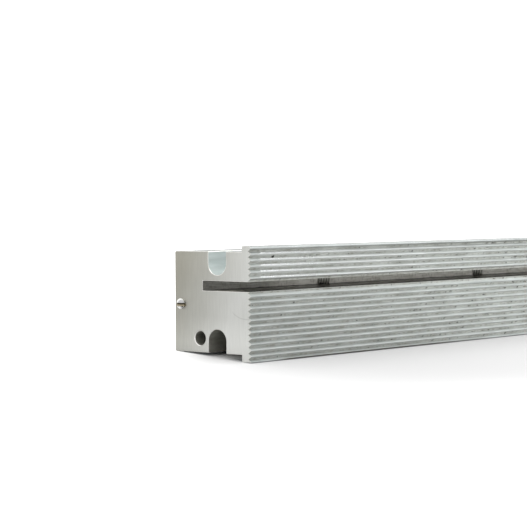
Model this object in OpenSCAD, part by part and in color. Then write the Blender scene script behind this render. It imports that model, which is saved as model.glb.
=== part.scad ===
// Heat sealing jaw: one machined steel bar with a serrated sealing face, a knife
// slot, two heater channels, a sensor bore and two tapped mounting holes in its
// back, and one slotted screw in its end face. Millimetres.
//
// Origin: midway between the two mounting holes, on the rear face, level with the
// middle of the knife slot. +X runs along the bar, +Z is up and the sealing face
// looks toward -Y. Levels are heights above the bar's underside.

/* [Bar] */
// Length of the bar
bar_length = 290; // [200:1:400]
// Depth from the tooth crests to the rear mounting face
bar_depth = 43; // [42:0.5:55]
// Height of the bar behind the sealing flange
bar_height = 43; // [38:0.5:50]
// Break on the long rear edges
edge_chamfer = 0.4; // [0.2:0.1:1]

/* [Sealing flange] */
// How far the flange stands above the bar
flange_rise = 2.5; // [1:0.25:5]
// How far the flange hangs below the bar
flange_drop = 3; // [1:0.25:5]
// Thickness of the flange from the tooth crests back
flange_thickness = 5; // [4:0.25:7]

/* [Serration] */
// Distance from one tooth crest to the next
tooth_pitch = 2.5; // [1.5:0.25:3]
// Depth of the V grooves
tooth_depth = 1.6; // [0.8:0.1:2]
// Width of the flat on each crest
crest_flat = 0.2; // [0.1:0.05:0.3]

/* [Knife slot] */
// Height of the slot
slot_height = 4.1; // [3:0.1:5]
// Depth of the slot from the tooth crests
slot_depth = 27; // [24:0.5:28]
// Wall between the slot and the top heater channel's floor
slot_wall = 2.55; // [1.5:0.05:4]

/* [Heater channels] */
// Width of each channel and diameter of its round floor
channel_width = 10; // [8:0.5:10]
// Depth of each channel below or above the bar's surface
channel_depth = 10; // [8:0.5:10]
// Distance from the rear face to the channels' middle
channel_setback = 24.2; // [23.5:0.1:26]

/* [Sensor bore] */
// Diameter of the bore
sensor_diameter = 6; // [4:0.5:6]
// Depth of the bore from the end face
sensor_depth = 60; // [30:1:90]
// Distance from the rear face to the bore's axis
sensor_setback = 14.4; // [12:0.1:15]
// Level of the bore's axis
sensor_level = 6; // [5:0.1:8]
// Break at the bore's mouth
sensor_chamfer = 0.3; // [0.2:0.1:0.5]

/* [Mounting holes] */
// Tap drill diameter, 8.5 for M10
tap_diameter = 8.5; // [6.8:0.1:8.5]
// Distance between the two holes
tap_spacing = 126; // [80:1:160]
// Countersink at each mouth
tap_chamfer = 0.9; // [0.5:0.1:1.2]

/* [End screw] */
// Thread diameter
screw_diameter = 2.5; // [2:0.5:3]
// Length of the shank in the bar
screw_length = 8; // [5:0.5:12]
// Diameter of the head
head_diameter = 4.5; // [4:0.1:5]
// Height of the head's straight side
head_side = 0.8; // [0.5:0.1:1.2]
// Rise of the head's domed top
head_dome = 0.5; // [0.3:0.1:0.8]
// Width of the driver slot
driver_slot_width = 0.7; // [0.5:0.1:0.8]
// Depth of the driver slot from the top of the dome
driver_slot_depth = 0.9; // [0.5:0.1:0.9]
// Distance from the rear face to the screw's axis
screw_setback = 3.8; // [3.2:0.1:5]
// Level of the screw's axis
screw_level = 20.4; // [18:0.1:22]
// Gap between the shank and its tapped hole, all round
screw_clearance = 0.05; // [0.02:0.01:0.1]

/* [Hidden] */
$fn = 96;

// Half angle of a drill's point, which shapes the end of each blind hole
drill_half_angle = 59;
// How far a cutting shape runs past the surface that it opens
overrun = 1;

// Level of the slot's middle, which is also the level of the origin
slot_level = bar_height - channel_depth - slot_wall - slot_height / 2;

end_face_x = -bar_length / 2;
crest_y = -bar_depth;
flange_setback = bar_depth - flange_thickness;
bar_bottom_z = -slot_level;
bar_top_z = bar_bottom_z + bar_height;
flange_bottom_z = bar_bottom_z - flange_drop;
flange_height = flange_drop + bar_height + flange_rise;
slot_floor_y = crest_y + slot_depth;
channel_radius = channel_width / 2;
sensor_radius = sensor_diameter / 2;
tap_radius = tap_diameter / 2;
screw_hole_radius = screw_diameter / 2 + screw_clearance;
head_radius = head_diameter / 2;

// Grooves that reach the flange, the top one cut off by the flange's edge
groove_count = ceil(flange_height / tooth_pitch);

// Section of the bar behind the flange as [y, z], with its rear edges broken
function bar_section() = [
    [-flange_setback, bar_bottom_z],
    [-edge_chamfer, bar_bottom_z],
    [0, bar_bottom_z + edge_chamfer],
    [0, bar_top_z - edge_chamfer],
    [-edge_chamfer, bar_top_z],
    [-flange_setback, bar_top_z]
];

// Lays a shape drawn along +Z down along +X, with its middle at the origin
module along_bar(length) {
    rotate([90, 0, 90])
        translate([0, 0, -length / 2])
            children();
}

// A heater channel, straight-sided to its round floor: side is 1 for the top, -1 for the bottom
module heater_channel(side) {
    surface_z = side > 0 ? bar_top_z : bar_bottom_z;
    axis_z = surface_z - side * (channel_depth - channel_radius);
    cut_length = bar_length + 2 * overrun;
    translate([0, -channel_setback, axis_z]) {
        rotate([0, 90, 0])
            cylinder(r = channel_radius, h = cut_length, center = true);
        translate([-cut_length / 2, -channel_radius, side > 0 ? 0 : -channel_depth])
            cube([cut_length, channel_width, channel_depth]);
    }
}

// One V groove of the serration, drawn with its lower crest at the local origin
module groove_section() {
    polygon([
        [-overrun, crest_flat / 2],
        [0, crest_flat / 2],
        [tooth_depth, tooth_pitch / 2],
        [0, tooth_pitch - crest_flat / 2],
        [-overrun, tooth_pitch - crest_flat / 2]
    ]);
}

// Full section of the bar and its flange, cut by the serration
module jaw_section() {
    polygon(bar_section());
    difference() {
        translate([crest_y, flange_bottom_z])
            square([flange_thickness, flange_height]);
        for (n = [0 : groove_count - 1])
            translate([crest_y, flange_bottom_z + n * tooth_pitch])
                groove_section();
    }
}

module knife_slot() {
    translate([end_face_x - overrun, crest_y - overrun, -slot_height / 2])
        cube([bar_length + 2 * overrun, slot_depth + overrun, slot_height]);
}

// A drilled hole along +X from the end face, with a drill point and a broken mouth
module end_hole(radius, depth, chamfer) {
    rotate([0, 90, 0]) {
        translate([0, 0, -overrun])
            cylinder(r = radius, h = depth + overrun);
        translate([0, 0, depth])
            cylinder(r1 = radius, r2 = 0, h = radius / tan(drill_half_angle));
        translate([0, 0, -overrun])
            cylinder(r1 = radius + chamfer + overrun, r2 = radius, h = chamfer + overrun);
    }
}

// A tapped hole along -Y from the rear face into the knife slot
module mounting_hole() {
    rotate([90, 0, 0]) {
        translate([0, 0, -overrun])
            cylinder(r = tap_radius, h = -slot_floor_y + 2 * overrun);
        translate([0, 0, -overrun])
            cylinder(r1 = tap_radius + tap_chamfer + overrun, r2 = tap_radius, h = tap_chamfer + overrun);
    }
}

module jaw_body() {
    color("silver")
        difference() {
            along_bar(bar_length)
                linear_extrude(height = bar_length)
                    jaw_section();
            heater_channel(1);
            heater_channel(-1);
            knife_slot();
            translate([end_face_x, -sensor_setback, bar_bottom_z + sensor_level])
                end_hole(sensor_radius, sensor_depth, sensor_chamfer);
            translate([end_face_x, -screw_setback, bar_bottom_z + screw_level])
                end_hole(screw_hole_radius, screw_length + overrun, 0);
            for (side = [-1, 1])
                translate([side * tap_spacing / 2, 0, 0])
                    mounting_hole();
        }
}

// Cheese-head screw with a domed top, its head seated on the end face
module end_screw() {
    dome_radius = (head_radius * head_radius + head_dome * head_dome) / (2 * head_dome);
    head_height = head_side + head_dome;
    color("gainsboro")
        translate([end_face_x, -screw_setback, bar_bottom_z + screw_level])
            rotate([0, -90, 0])
                difference() {
                    union() {
                        translate([0, 0, -screw_length])
                            cylinder(r = screw_diameter / 2, h = screw_length);
                        intersection() {
                            cylinder(r = head_radius, h = head_height);
                            translate([0, 0, head_height - dome_radius])
                                sphere(r = dome_radius);
                        }
                    }
                    translate([-driver_slot_width / 2, -head_diameter, head_height - driver_slot_depth])
                        cube([driver_slot_width, 2 * head_diameter, driver_slot_depth + overrun]);
                }
}

jaw_body();
end_screw();
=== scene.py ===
"""Dresses the heat sealing jaw: one machined steel bar with a serrated face, and one slotted end screw.

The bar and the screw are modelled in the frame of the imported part, in metres. Levels are along Z, the bar
runs along X and its serrated face looks toward -Y.
"""

import logging
import math
from collections.abc import Callable, Iterable, Iterator
from contextlib import contextmanager
from dataclasses import dataclass, field
from enum import Enum
from typing import Any

import bmesh
import bpy
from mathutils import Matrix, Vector


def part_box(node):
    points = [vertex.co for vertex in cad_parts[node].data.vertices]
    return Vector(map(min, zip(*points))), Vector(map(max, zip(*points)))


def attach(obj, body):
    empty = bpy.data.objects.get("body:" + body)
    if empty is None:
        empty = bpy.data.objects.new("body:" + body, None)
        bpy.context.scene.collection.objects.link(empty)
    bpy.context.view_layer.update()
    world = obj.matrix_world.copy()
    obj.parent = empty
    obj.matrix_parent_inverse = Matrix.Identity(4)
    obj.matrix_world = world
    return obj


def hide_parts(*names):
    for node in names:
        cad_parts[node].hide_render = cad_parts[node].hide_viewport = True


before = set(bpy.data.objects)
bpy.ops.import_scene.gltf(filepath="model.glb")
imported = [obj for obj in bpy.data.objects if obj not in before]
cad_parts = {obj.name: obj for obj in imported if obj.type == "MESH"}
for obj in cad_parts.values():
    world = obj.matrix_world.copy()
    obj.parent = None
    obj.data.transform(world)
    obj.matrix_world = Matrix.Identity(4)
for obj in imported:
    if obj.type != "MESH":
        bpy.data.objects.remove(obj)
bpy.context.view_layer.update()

log = logging.getLogger("sealing_jaw")

Colour = tuple[float, float, float, float]
Pair = tuple[float, float]
Triple = tuple[float, float, float]
# Levels or colours by their places on a ramp, from left to right.
Levels = tuple[Pair, ...]
Stops = list[tuple[float, Colour]]
# A node, for its first live output, or a node and the name of one of its outputs.
Link = bpy.types.Node | tuple[bpy.types.Node, str]
Test = Callable[[Any], bool]
RISING: Levels = ((0.0, 0.0), (1.0, 1.0))
# How much each axis counts in a distance from a line along X.
ACROSS_X: Triple = (0.0, 1.0, 1.0)
MULTIPLY = {"data_type": "RGBA", "blend_type": "MULTIPLY"}


def mm(value: float) -> float:
    """Returns a length given in millimetres in metres."""
    return value * 0.001


def mms(*values: float) -> tuple[float, ...]:
    """Returns lengths given in millimetres in metres."""
    return tuple(mm(value) for value in values)


def linear(hex_colour: str) -> Colour:
    """Turns an sRGB hex colour to the linear colour that shaders take.

    Args:
        hex_colour: Six hex digits, such as "B4B7B4".

    Returns:
        Red, green, blue and an alpha of one.
    """
    parts = [int(hex_colour[i : i + 2], 16) / 255 for i in (0, 2, 4)]
    red, green, blue = (c / 12.92 if c <= 0.04045 else ((c + 0.055) / 1.055) ** 2.4 for c in parts)
    return (red, green, blue, 1.0)


# --- Modelling helpers -----------------------------------------------------------------------------------


DRILL_HALF_ANGLE = math.radians(59)
# How a shape that stands along Z is turned to lie along an axis, with its upper end toward +X, -Y or +Z.
TURNS = {"X": (0, math.pi / 2, 0), "Y": (math.pi / 2, 0, 0), "Z": (0, 0, 0)}


class Pick(Enum):
    """What an edit-mode selection takes."""

    CORNERS = "VERT"
    EDGES = "EDGE"
    FACES = "FACE"


class Side(Enum):
    """The upper or lower side of the bar."""

    TOP = 1
    BOTTOM = -1


def only(piece: bpy.types.Object) -> None:
    """Makes one object the only selected one and the active one.

    Args:
        piece: The object to work on.
    """
    bpy.ops.object.select_all(action="DESELECT")
    piece.select_set(True)
    bpy.context.view_layer.objects.active = piece


@contextmanager
def editing(piece: bpy.types.Object) -> Iterator[None]:
    """Opens a piece in edit mode with all of it selected, and closes it again.

    Args:
        piece: The object to edit.
    """
    only(piece)
    bpy.ops.object.mode_set(mode="EDIT")
    bpy.ops.mesh.select_all(action="SELECT")
    yield
    bpy.ops.object.mode_set(mode="OBJECT")


def settle(piece: bpy.types.Object) -> None:
    """Writes an object's place, turn and size into its mesh."""
    only(piece)
    bpy.ops.object.transform_apply(location=True, rotation=True, scale=True)


def choose(pick: Pick, test: Test) -> int:
    """Selects, in edit mode, the corners, edges or faces that pass a test, and nothing else.

    Args:
        pick: Which kind of element is selected.
        test: Says whether an element is selected.

    Returns:
        How many were selected.
    """
    bpy.ops.mesh.select_mode(type=pick.value)
    bpy.ops.mesh.select_all(action="DESELECT")
    mesh = bmesh.from_edit_mesh(bpy.context.edit_object.data)
    mesh.normal_update()
    elements = {Pick.CORNERS: mesh.verts, Pick.EDGES: mesh.edges, Pick.FACES: mesh.faces}[pick]
    found = [element for element in elements if test(element)]
    for element in found:
        element.select_set(True)
    mesh.select_flush_mode()
    bmesh.update_edit_mesh(bpy.context.edit_object.data)
    return len(found)


def middle(edge: Any) -> Vector:
    """Returns the point halfway along a mesh edge."""
    return (edge.verts[0].co + edge.verts[1].co) / 2


def runs_along(edge: Any, axis: int) -> bool:
    """Returns whether a mesh edge is parallel to an axis, given as 0, 1 or 2."""
    step = edge.verts[1].co - edge.verts[0].co
    return step.length > 1e-7 and abs(step[axis]) > 0.999 * step.length


def near(value: float, goal: float) -> bool:
    """Returns whether a value is within 0.02 mm of a goal."""
    return abs(value - goal) < mm(0.02)


def near_any(value: float, goals: Iterable[float]) -> bool:
    """Returns whether a value is near one of several goals."""
    return any(near(value, goal) for goal in goals)


def modify(piece: bpy.types.Object, kind: str, **settings: Any) -> None:
    """Adds a modifier and applies it.

    Args:
        piece: The object that it changes.
        kind: The modifier's type, such as "BEVEL".
        settings: The modifier's properties.
    """
    modifier = piece.modifiers.new(kind, kind)
    for name, value in settings.items():
        setattr(modifier, name, value)
    only(piece)
    bpy.ops.object.modifier_apply(modifier=modifier.name)


def cut(piece: bpy.types.Object, cutter: bpy.types.Object) -> None:
    """Cuts a closed shape out of a piece and deletes the cutter.

    Args:
        piece: The solid that is cut.
        cutter: The solid whose space is taken away.
    """
    modify(piece, "BOOLEAN", operation="DIFFERENCE", solver="EXACT", object=cutter)
    bpy.data.objects.remove(cutter, do_unlink=True)


def block(name: str, low: Triple, high: Triple) -> bpy.types.Object:
    """Adds a rectangular block between two corners, with its place in its mesh.

    Args:
        name: The object's name.
        low: Lowest corner.
        high: Highest corner.

    Returns:
        The new object.
    """
    centre = [(a + b) / 2 for a, b in zip(low, high)]
    size = [b - a for a, b in zip(low, high)]
    bpy.ops.mesh.primitive_cube_add(size=1, location=centre, scale=size)
    piece = bpy.context.object
    piece.name = name
    settle(piece)
    return piece


def rod(
    name: str, radius: float, length: float, centre: Triple, axis: str, sides: int, cap: str = "NGON"
) -> bpy.types.Object:
    """Adds a round rod along an axis, with its place in its mesh.

    Args:
        name: The object's name.
        radius: Radius of the rod.
        length: Length of the rod.
        centre: Middle of the rod.
        axis: "X", "Y" or "Z", which it lies along.
        sides: Faces round the rod.
        cap: How the ends are closed, as in the operator's end_fill_type.

    Returns:
        The new object.
    """
    turn = TURNS[axis]
    bpy.ops.mesh.primitive_cylinder_add(
        vertices=sides, radius=radius, depth=length, location=centre, rotation=turn, end_fill_type=cap
    )
    piece = bpy.context.object
    piece.name = name
    settle(piece)
    return piece


# --- Materials -------------------------------------------------------------------------------------------


def greys(levels: Levels) -> Stops:
    """Returns a ramp's stops from neutral levels and their places."""
    return [(at, (level, level, level, 1.0)) for at, level in levels]


def ramp_range(span: tuple[float, ...], levels: Pair = (0.0, 1.0)) -> dict[str, float]:
    """Returns a Map Range node's settings: the values it runs over and the levels at their ends."""
    return {"From Min": span[0], "From Max": span[1], "To Min": levels[0], "To Max": levels[1]}


def set_stops(ramp: bpy.types.Node, stops: Stops) -> None:
    """Sets a colour ramp's stops.

    Args:
        ramp: A ColorRamp node, which has two stops when new.
        stops: Place and linear colour of each stop, from left to right.
    """
    elements = ramp.color_ramp.elements
    while len(elements) < len(stops):
        elements.new(0.5)
    for element, (place, colour) in zip(elements, stops):
        element.position = place
        element.color = colour


@dataclass
class Graph:
    """A node tree in the making. Each method adds a pattern's nodes and returns the one that gives it."""

    tree: bpy.types.NodeTree

    def __post_init__(self) -> None:
        """Adds the coordinates that the patterns follow."""
        self.place = self.add("TexCoord")

    def add(
        self, kind: str, settings: dict[str, Any] | None = None, links: dict[str, Link] | None = None
    ) -> bpy.types.Node:
        """Adds a node with its settings and its incoming links.

        Args:
            kind: Node type without its prefix, such as "TexNoise".
            settings: Values by name, each an input's or the node's own property's. A number as the name is
                an input's place in the list, and "stops" are a colour ramp's, from left to right.
            links: The link that feeds each input, named or numbered.

        Returns:
            The new node.
        """
        node = self.tree.nodes.new(f"ShaderNode{kind}")
        for name, value in (settings or {}).items():
            if name == "stops":
                set_stops(node, value)
            elif hasattr(node, name):
                setattr(node, name, value)
            else:
                node.inputs[int(name) if name.isdigit() else name].default_value = value
        for name, source in (links or {}).items():
            self.connect(source, node, name)
        return node

    def connect(self, source: Link, node: bpy.types.Node, name: str) -> None:
        """Feeds a node's input.

        Args:
            source: The link that feeds it.
            node: The node that is fed.
            name: The input's name or its place in the list.
        """
        if isinstance(source, tuple):
            output = source[0].outputs[source[1]]
        else:
            output = next(output for output in source.outputs if output.enabled)
        self.tree.links.new(output, node.inputs[int(name) if name.isdigit() else name])

    def streaks(self, cell_mm: Triple, detail: float = 3.0) -> bpy.types.Node:
        """Adds a noise of about 0.3 to 0.7 whose blotches have a real size along each axis.

        Args:
            cell_mm: Size of a blotch along X, Y and Z in millimetres.
            detail: How many finer layers it has.

        Returns:
            The noise.
        """
        scale = tuple(1 / mm(size) for size in cell_mm)
        stretched = self.add("Mapping", {"Scale": scale}, {"Vector": (self.place, "Object")})
        return self.add("TexNoise", {"Scale": 1.0, "Detail": detail}, {"Vector": stretched})

    def blotches(self, cell_mm: Triple, detail: float, stops: Stops) -> bpy.types.Node:
        """Returns a noise, given by its cells and finer layers, that runs through a ramp's stops."""
        return self.add("ValToRGB", {"stops": stops}, {"Fac": self.streaks(cell_mm, detail)})

    def along(self, axis: str, span_mm: Pair, levels: Levels = RISING) -> bpy.types.Node:
        """Adds a level that follows a coordinate.

        Args:
            axis: "X", "Y" or "Z".
            span_mm: Where the levels start and end along the axis, in millimetres.
            levels: Share of the span and the level there.

        Returns:
            The level, which is constant before and past the span.
        """
        apart = self.add("SeparateXYZ", links={"Vector": (self.place, "Object")})
        share = self.add("MapRange", ramp_range(mms(*span_mm)), {"Value": (apart, axis)})
        return self.add("ValToRGB", {"stops": greys(levels)}, {"Fac": share})

    def distance(
        self, centre: tuple[float, ...], scale: Triple, point: Link | None = None
    ) -> bpy.types.Node:
        """Adds the distance from a centre or, where an axis counts for nothing, from a line along that axis.

        Args:
            centre: The centre in metres.
            scale: How much each axis counts.
            point: The place to measure at, a spot's own where none is given.

        Returns:
            The distance in metres.
        """
        centred = {"Location": [-at * share for at, share in zip(centre, scale)], "Scale": scale}
        offset = self.add("Mapping", centred, {"Vector": point or (self.place, "Object")})
        return self.add("VectorMath", {"operation": "LENGTH"}, {"0": offset})

    def product(self, mask: Link, *others: Link) -> Link:
        """Multiplies masks together.

        Args:
            mask: The first mask.
            others: The masks that it is multiplied by.

        Returns:
            The mask of where all of them are one.
        """
        for other in others:
            mask = self.add("Math", {"operation": "MULTIPLY"}, {"0": mask, "1": other})
        return mask

    def tinted(self, colour: Link, *tones: Link) -> Link:
        """Multiplies a colour by tones.

        Args:
            colour: The colour to start from.
            tones: The tones, which are one where they leave it alone.

        Returns:
            The tinted colour.
        """
        for tone in tones:
            colour = self.add("Mix", {**MULTIPLY, "0": 1.0}, {"6": colour, "7": tone})
        return colour

    def coated(self, colour: Link, coat: str, *masks: Link) -> bpy.types.Node:
        """Returns a colour under a plain coat, which is whole where all of the masks are one."""
        under = {"0": self.product(*masks), "6": colour}
        return self.add("Mix", {"data_type": "RGBA", "7": linear(coat)}, under)


@dataclass(frozen=True)
class Relief:
    """Fine marks that are too shallow to model: their size, strength and depth, and their noise's layers."""

    cell_mm: Triple
    strength: float
    depth_mm: float
    detail: float = 3.0


@dataclass(frozen=True)
class Finish:
    """A finish whose colour drifts in blotches between two close tones."""

    name: str
    light: str
    dark: str
    roughness: float
    cell_mm: Triple = (1, 1, 1)
    detail: float = 3.0
    tones: Pair = (0.3, 0.7)
    metallic: float = 1.0
    sheen: float = 0.5
    relief: Relief | None = None

    def material(self) -> bpy.types.Material:
        """Returns the finish as a material."""
        made = bpy.data.materials.new(self.name)
        made.use_nodes = True
        shader = made.node_tree.nodes["Principled BSDF"]
        shader.inputs["Metallic"].default_value = self.metallic
        shader.inputs["Roughness"].default_value = self.roughness
        shader.inputs["Specular IOR Level"].default_value = self.sheen
        graph = Graph(made.node_tree)
        for name, source in self.inputs(graph).items():
            graph.connect(source, shader, name)
        return made

    def inputs(self, graph: Graph) -> dict[str, Link]:
        """Returns what feeds the shader, by the shader's input."""
        colour = {"Base Color": self.colour(graph)}
        return {**colour, "Normal": self.marks(graph)} if self.relief else colour

    def colour(self, graph: Graph) -> Link:
        """Returns the blotched colour, on which the finishes with more to show build."""
        stops = [(self.tones[0], linear(self.dark)), (self.tones[1], linear(self.light))]
        return graph.blotches(self.cell_mm, self.detail, stops)

    def marks(self, graph: Graph, **shape: Link) -> bpy.types.Node:
        """Adds the relief's marks.

        Args:
            graph: The material's nodes.
            shape: The Normal under the marks, unless it's the mesh's own.

        Returns:
            The normal with the marks.
        """
        marks = graph.streaks(self.relief.cell_mm, self.relief.detail)
        depth = {"Strength": self.relief.strength, "Distance": mm(self.relief.depth_mm)}
        return graph.add("Bump", depth, {"Height": marks, **shape})


@dataclass(frozen=True)
class GroundEnd(Finish):
    """Surface-ground tool steel of the bar's ends.

    The wheel leaves a fine straight grain. The tone is painted reflection and painted light: lighter and
    cooler toward the flange, slightly brown toward the rear edge, and a little lighter toward the foot.
    """

    name: str = "ground_tool_steel"
    light: str = "E0E1DD"
    plain: str = "C3C3BC"
    dark: str = "B0AEA3"
    roughness: float = 0.42
    cell_mm: Triple = (9, 9, 9)
    detail: float = 4.0
    # Where the painted reflection's dark, plain and light tones lie, as shares of the way from the rear edge
    # to the flange.
    tones: Triple = (0.06, 0.5, 0.982)
    blotch_share: float = 0.16
    depth_mm: float = 43.0
    # The grain's streaks are narrow across the bar and long up it.
    relief: Relief = Relief((60, 0.5, 8), 0.15, 0.02)
    grain: Levels = ((0.3, 0.96), (0.7, 1.03))
    # Painted light: the end is lighter at the foot and darker in a broad stretch half-way up.
    face_mm: Pair = (-31.4, 17.1)
    painted_light_by_height: Levels = ((0.0, 1.11), (0.15, 1.08), (0.38, 0.89), (0.65, 0.9), (0.9, 0.99), (1.0, 0.99))
    # One faint arc was scratched by something that swung on the face.
    arc: str = "8C8B84"
    arc_strength: float = 0.22
    arc_centre_mm: Triple = (0.0, -40.0, -2.6)
    arc_radius_mm: float = 10.9
    arc_line_mm: Pair = (0.1, 0.32)
    arc_reach_mm: Pair = (-10.1, -11.6)

    def colour(self, graph: Graph) -> Link:
        """Adds the ground face's colour with its grain, its painted reflection and light, and its scratch.

        Args:
            graph: The material's nodes.

        Returns:
            The colour.
        """
        # Painted reflection and painted light: the tone runs from the rear edge to the flange, and a little
        # from the top to the foot.
        slope = (0.0, -1 / mm(self.depth_mm), -0.5 / mm(self.depth_mm))
        falling = {"operation": "DOT_PRODUCT", "1": slope}
        across = graph.add("VectorMath", falling, {"0": (graph.place, "Object")})
        blend = {"operation": "MULTIPLY_ADD", "1": self.blotch_share}
        tone = graph.add("Math", blend, {"0": graph.streaks(self.cell_mm, self.detail), "2": across})
        stops = [(at, linear(step)) for at, step in zip(self.tones, (self.dark, self.plain, self.light))]
        colour = graph.tinted(
            graph.add("ValToRGB", {"stops": stops}, {"Fac": tone}),
            graph.blotches(self.relief.cell_mm, self.relief.detail, greys(self.grain)),
            graph.along("Z", self.face_mm, self.painted_light_by_height),
        )
        radius = graph.distance(mms(*self.arc_centre_mm), ACROSS_X)
        off = graph.add("Math", {"operation": "SUBTRACT", "1": mm(self.arc_radius_mm)}, {"0": radius})
        off = graph.add("Math", {"operation": "ABSOLUTE"}, {"0": off})
        fading = ramp_range(mms(*self.arc_line_mm), (self.arc_strength, 0.0))
        line = graph.add("MapRange", fading, {"Value": off})
        return graph.coated(colour, self.arc, line, graph.along("Z", self.arc_reach_mm))


@dataclass(frozen=True)
class SatinPlate(Finish):
    """Milled steel with a thin satin nickel plate, on the serrated face and the bar's long faces.

    The plate is cooler and duller than bare steel. Film wear has brightened the crests between the ends,
    above the slot more than below it; their lighter colour there is partly a painted highlight. Charred
    residue sits as dark specks in the grooves. The plate's tones by place are painted light and shade, with
    a painted contact shadow at the foot.
    """

    name: str = "satin_nickel_plate"
    light: str = "E6E9E8"
    dark: str = "D2D5D3"
    roughness: float = 0.5
    worn_roughness: float = 0.18
    cell_mm: Triple = (16, 2.5, 2.5)
    detail: float = 5.0
    # The cutter's marks run along the bar.
    relief: Relief = Relief((14, 0.45, 0.45), 0.2, 0.03)
    # The teeth are counted from the foot, and wear and residue keep to the serrated front.
    pitch_mm: float = 2.5
    foot_mm: float = -31.4
    front_mm: Pair = (-41.19, -41.21)
    # Painted shade: the plate is darker toward the bottom of the visible end.
    low_end_shade: float = 0.87
    low_end_shade_reach_mm: Pair = (260.0, 60.0)
    low_end_shade_range: Pair = (-0.85, -0.15)
    # Painted shade: the faces that look upward are darker.
    upward_shade_range: Pair = (0.9, 0.99)
    upward_shade_tone: float = 0.62
    # Painted light and shade by the place in a tooth: the grooves are a little lighter than the crests and
    # their upper walls the darkest. The grooves are also a little warmer.
    tooth_light_and_shade_tones: tuple[tuple[float, str], ...] = (
        (0.0, "E8EBEB"), (0.1, "F8FBFB"), (0.22, "F2F5F5"), (0.32, "F3F5F4"), (0.45, "FCFBF9"),
        (0.62, "F5F3F0"), (0.74, "E9E7E4"), (0.86, "DAD9D6"), (1.0, "E8EBEB"),
    )
    # Painted light and shade away from the visible end: the grooves are lighter and the crests darker.
    far_light_and_shade_mm: Pair = (-60.0, 40.0)
    far_light_and_shade_levels: Levels = (
        (0.0, 0.92), (0.15, 0.96), (0.3, 1.02), (0.45, 1.07),
        (0.6, 1.13), (0.75, 1.03), (0.9, 0.94), (1.0, 0.92),
    )
    # Painted shade: the topmost groove and the flank above it, which is part of no full tooth, are darker.
    top_shade_mm: Pair = (13.6, 17.1)
    top_shade_levels: Levels = (
        (0.08, 1.0), (0.16, 0.82), (0.24, 0.88), (0.36, 1.0), (0.44, 0.92),
        (0.52, 0.66), (0.62, 0.66), (0.68, 1.0), (0.714, 0.9), (0.8, 0.4),
    )
    # The line of wear lies low on each upper flank, from where the film's path starts inward. Its lighter
    # colour is partly a painted highlight.
    wear_and_highlight: str = "F3F6F7"
    worn_normal: Triple = (0.0, -0.87, 0.5)
    worn_line: Levels = ((0.0, 0.0), (0.03, 1.0), (0.32, 1.0), (0.42, 0.0))
    glint_line: Levels = ((0.1, 0.0), (0.15, 0.74), (0.22, 0.74), (0.28, 0.0))
    worn_from_mm: Pair = (-138.6, -138.1)
    worn_to_mm: Pair = (-130.0, 20.0)
    worn_fading: Levels = ((0.0, 1.0), (0.2, 0.7), (0.45, 0.5), (1.0, 0.05))
    worn_above_mm: Pair = (-3.0, 3.0)
    worn_above: Levels = ((0.0, 0.15), (1.0, 1.0))
    full_teeth_mm: Pair = (16.01, 15.99)
    patch_mm: Triple = (5, 1.5, 1.5)
    patches: Levels = ((0.3, 0.75), (0.5, 1.0))
    # Residue lies on the grooves' upper walls: specks of 0.2 to 0.8 mm, fewer toward the visible end.
    groove_wall: Levels = ((0.4, 0.02), (0.48, 1.0), (0.7, 1.0), (0.8, 0.04))
    residue: str = "3C3A34"
    speck_mm: float = 1.6
    speck_run_mm: Pair = (-140.0, 40.0)
    speck_sizes: Levels = ((0.0, 0.2), (1.0, 0.46))
    speck_chance: Pair = (0.35, 1.0)
    speck_edge: Pair = (-0.02, 0.06)
    speck_strength: float = 0.95
    smear: str = "86806F"
    smear_mm: Triple = (1.8, 1.2, 1.2)
    smears: Levels = ((0.5, 0.0), (0.66, 0.45))
    # Painted contact shadow: a dark line along the foot, away from the ends.
    foot_contact_shadow: str = "57544B"
    foot_contact_shadow_mm: Pair = (-31.12, -31.02)
    foot_contact_shadow_levels: Levels = ((0.0, 0.9), (1.0, 0.0))
    foot_shadow_run_mm: Pair = (-130.0, 130.0)
    foot_shadow_run: Levels = ((0.0, 0.0), (0.04, 1.0), (0.45, 1.0), (0.65, 0.1))

    def inputs(self, graph: Graph) -> dict[str, Link]:
        """Adds the plate under its wear, its painted highlight, its residue and its painted contact shadow.

        Args:
            graph: The material's nodes.

        Returns:
            What feeds the shader, by the shader's input.
        """
        front = graph.along("Y", self.front_mm)
        path = graph.product(
            graph.along("X", self.worn_from_mm),
            graph.along("X", self.worn_to_mm, self.worn_fading),
            graph.along("Z", self.worn_above_mm, self.worn_above),
            graph.blotches(self.patch_mm, 2.0, greys(self.patches)),
            graph.along("Z", self.full_teeth_mm),
            front,
        )
        wear_and_highlight, glint, groove = (
            graph.product(self.by_tooth(graph, greys(line)), reach)
            for line, reach in ((self.worn_line, path), (self.glint_line, path), (self.groove_wall, front))
        )
        smears = graph.blotches(self.smear_mm, 4.0, greys(self.smears))
        # Painted contact shadow along the foot, away from the ends.
        low = graph.along("Z", self.foot_contact_shadow_mm, self.foot_contact_shadow_levels)
        run = graph.along("X", self.foot_shadow_run_mm, self.foot_shadow_run)
        # The coat on the line of wear is partly a painted highlight.
        colour = graph.coated(self.colour(graph), self.wear_and_highlight, wear_and_highlight)
        colour = graph.coated(colour, self.residue, self.specks(graph), groove)
        colour = graph.coated(colour, self.smear, smears, groove)
        colour = graph.coated(colour, self.foot_contact_shadow, low, run, front)
        polish = {"To Min": self.roughness, "To Max": self.worn_roughness}
        # Wear has rounded the crests: the worn line looks further forward than the flank that it lies on.
        turned = {"data_type": "VECTOR", "5": self.worn_normal}
        shape = graph.add("Mix", turned, {"0": glint, "4": (graph.add("NewGeometry"), "Normal")})
        shape = graph.add("VectorMath", {"operation": "NORMALIZE"}, {"0": shape})
        return {
            "Base Color": colour,
            "Roughness": graph.add("MapRange", polish, {"Value": wear_and_highlight}),
            "Normal": self.marks(graph, Normal=shape),
        }

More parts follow.
